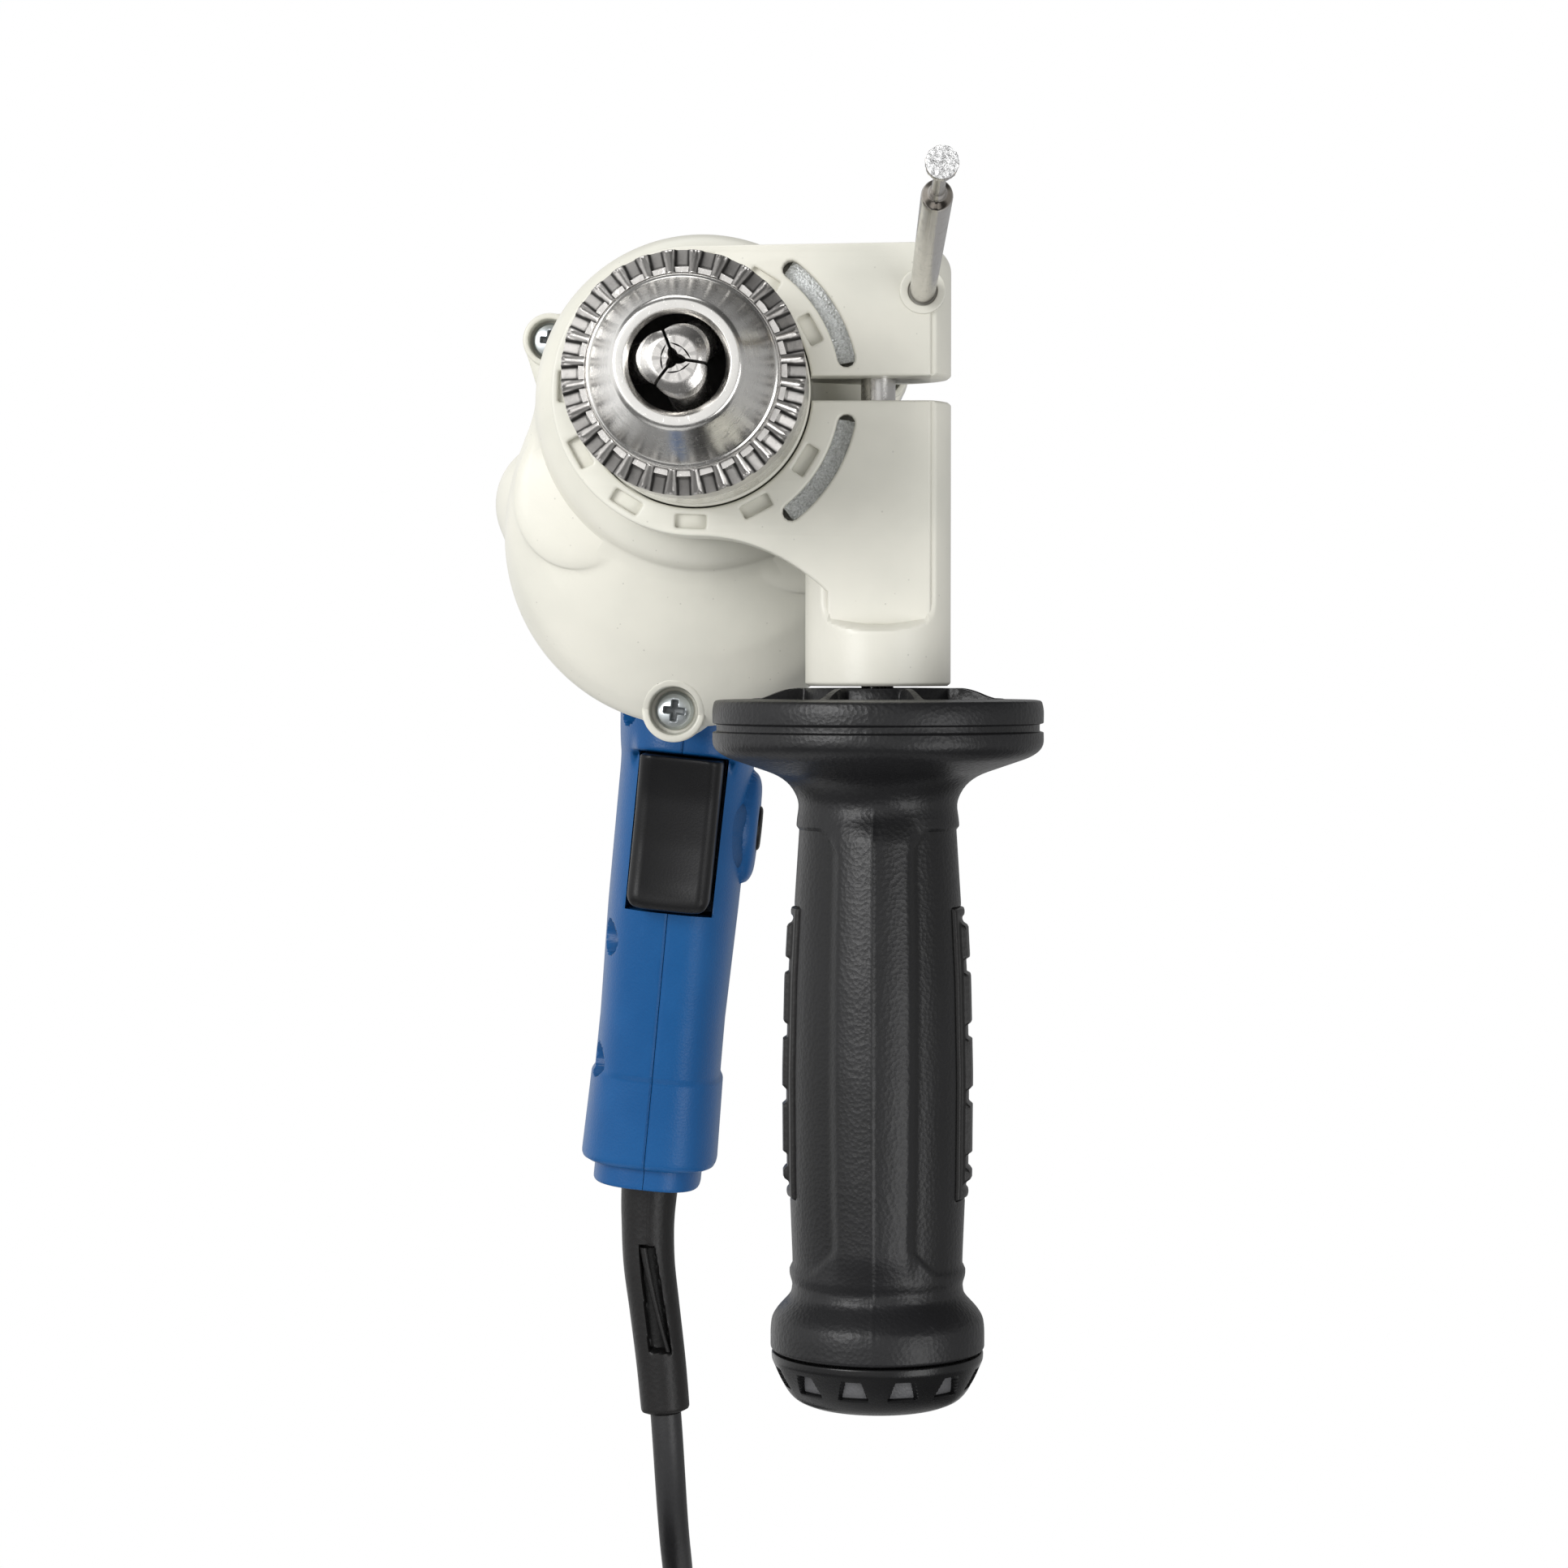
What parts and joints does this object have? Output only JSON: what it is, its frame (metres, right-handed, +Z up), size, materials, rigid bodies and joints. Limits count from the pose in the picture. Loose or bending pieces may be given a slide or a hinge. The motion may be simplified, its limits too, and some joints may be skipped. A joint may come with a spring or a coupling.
{
  "type": "power drill",
  "caption": "Corded hand drill with a keyed chuck, hand grip with trigger, clamped side handle, depth rod and a coiled mains lead.",
  "frame": {"origin": "middle of the hand grip, on the drill's middle plane", "axes": "+Y from the chuck to the motor end along the spindle, +Z up from the grip to the spindle, +X to the side of the clamp's column"},
  "size_m": [0.114, 0.3616, 0.4491],
  "materials": {
    "cream_paint": "satin",
    "blue_plastic": "satin",
    "black_plastic": "matt, lightly grained",
    "black_rubber": "soft satin",
    "bright_steel": "turned",
    "tool_steel": "cast and ground",
    "chrome": "polished",
    "zinc": "zinc plated",
    "cast_aluminium": "cast",
    "copper": "bare",
    "laminated_steel": "varnished",
    "brass": "drawn",
    "bronze": "sintered",
    "carbon": "pressed",
    "tan_resin": "moulded"
  },
  "bodies": {
    "housing": {"gearbox_housing": "cream_paint", "gearbox_screw_right": "zinc", "gearbox_screw_left": "zinc", "gearbox_screw_bottom": "zinc", "gear_plate": "cast_aluminium", "ratchet_fixed": "tool_steel", "spindle_bearing": "bright_steel", "spindle_bush": "bronze", "field_core": "laminated_steel", "field_coil_left": "copper", "field_coil_right": "copper", "motor_bearing_front": "bright_steel", "motor_bearing_rear": "bright_steel", "brush_left": "carbon", "brush_right": "carbon", "brush_holder_left": "brass", "brush_holder_right": "brass", "housing_left": "blue_plastic", "housing_right": "blue_plastic", "case_screw_top": "zinc", "case_screw_canopy": "zinc", "case_screw_middle": "zinc", "case_screw_foot": "zinc", "switch_body": "black_plastic", "capacitor": "cast_aluminium", "cord_clamp": "black_plastic", "cord_sleeve": "black_rubber", "cord_lead": "black_rubber", "cord_coil": "black_rubber", "cord_tie": "black_plastic", "plug_body": "black_rubber", "plug_pin_left": "brass", "plug_pin_right": "brass"},
    "spindle_unit": {"chuck_body": "bright_steel", "chuck_screw": "zinc", "spindle": "tool_steel", "spindle_gear": "tool_steel", "ratchet_turning": "tool_steel"},
    "key_sleeve": {"chuck_sleeve": "tool_steel", "chuck_nut": "tool_steel"},
    "jaw_a": {"jaw_1": "bright_steel"},
    "jaw_b": {"jaw_2": "bright_steel"},
    "jaw_c": {"jaw_3": "bright_steel"},
    "armature": {"armature_shaft": "tool_steel", "armature_core": "laminated_steel", "commutator": "copper", "fan": "tan_resin"},
    "trigger_body": {"trigger": "black_plastic"},
    "lock_body": {"lock_button": "black_plastic"},
    "selector_body": {"mode_selector": "black_plastic"},
    "clamp": {"clamp_body": "cream_paint", "clamp_insert_upper": "cast_aluminium", "clamp_insert_lower": "cast_aluminium", "clamp_bolt": "bright_steel"},
    "handle": {"side_handle": "black_plastic", "grip_pad_left": "black_rubber", "grip_pad_right": "black_rubber", "handle_end_cap": "black_plastic", "clamp_nut": "zinc"},
    "rod": {"depth_rod": "chrome"}
  },
  "joints": [
    {"name": "spindle_spin", "type": "hinge", "parent": "housing", "child": "spindle_unit", "pos_m": [0, -0.131, 0.125], "axis": [0, 1, 0], "continuous": true},
    {"name": "armature_spin", "type": "hinge", "parent": "housing", "child": "armature", "pos_m": [0, -0.04, 0.099], "axis": [0, 1, 0], "continuous": true},
    {"name": "sleeve_turn", "type": "hinge", "parent": "spindle_unit", "child": "key_sleeve", "pos_m": [0, -0.16, 0.125], "axis": [0, 1, 0], "range_deg": [0, 2880]},
    {"name": "jaw_a_slide", "type": "slide", "parent": "spindle_unit", "child": "jaw_a", "axis": [-0.2922, 0.9563, 0.0102], "range_m": [0, 0.0217]},
    {"name": "jaw_b_slide", "type": "slide", "parent": "spindle_unit", "child": "jaw_b", "axis": [0.1549, 0.9563, 0.2479], "range_m": [0, 0.0217]},
    {"name": "jaw_c_slide", "type": "slide", "parent": "spindle_unit", "child": "jaw_c", "axis": [0.1373, 0.9563, -0.2581], "range_m": [0, 0.0217]},
    {"name": "trigger_press", "type": "slide", "parent": "housing", "child": "trigger_body", "axis": [0, 1, 0], "range_m": [0, 0.0065], "stiffness_N_per_m": 500, "springref_m": -0.004},
    {"name": "lock_press", "type": "slide", "parent": "housing", "child": "lock_body", "axis": [-1, 0, 0], "range_m": [0, 0.003], "stiffness_N_per_m": 400, "springref_m": -0.003},
    {"name": "selector_turn", "type": "hinge", "parent": "housing", "child": "selector_body", "pos_m": [0, -0.071, 0.156], "axis": [0, 0, 1], "range_deg": [0, 90]},
    {"name": "clamp_swivel", "type": "hinge", "parent": "housing", "child": "clamp", "pos_m": [0, -0.1212, 0.125], "axis": [0, -1, 0], "range_deg": [-50, 170]},
    {"name": "handle_turn", "type": "hinge", "parent": "clamp", "child": "handle", "pos_m": [0.04437, -0.1212, 0.02911], "axis": [-0.1045, 0, 0.9945], "range_deg": [0, 720]},
    {"name": "depth_rod_slide", "type": "slide", "parent": "clamp", "child": "rod", "axis": [0, 1, 0], "range_m": [-0.01, 0.11]}
  ],
  "couplings": [
    {"joint": "armature_spin", "follows": "spindle_spin", "ratio": -4.7143},
    {"joint": "jaw_a_slide", "follows": "sleeve_turn", "m_per_rad": 0.00043},
    {"joint": "jaw_b_slide", "follows": "sleeve_turn", "m_per_rad": 0.00043},
    {"joint": "jaw_c_slide", "follows": "sleeve_turn", "m_per_rad": 0.00043}
  ]
}
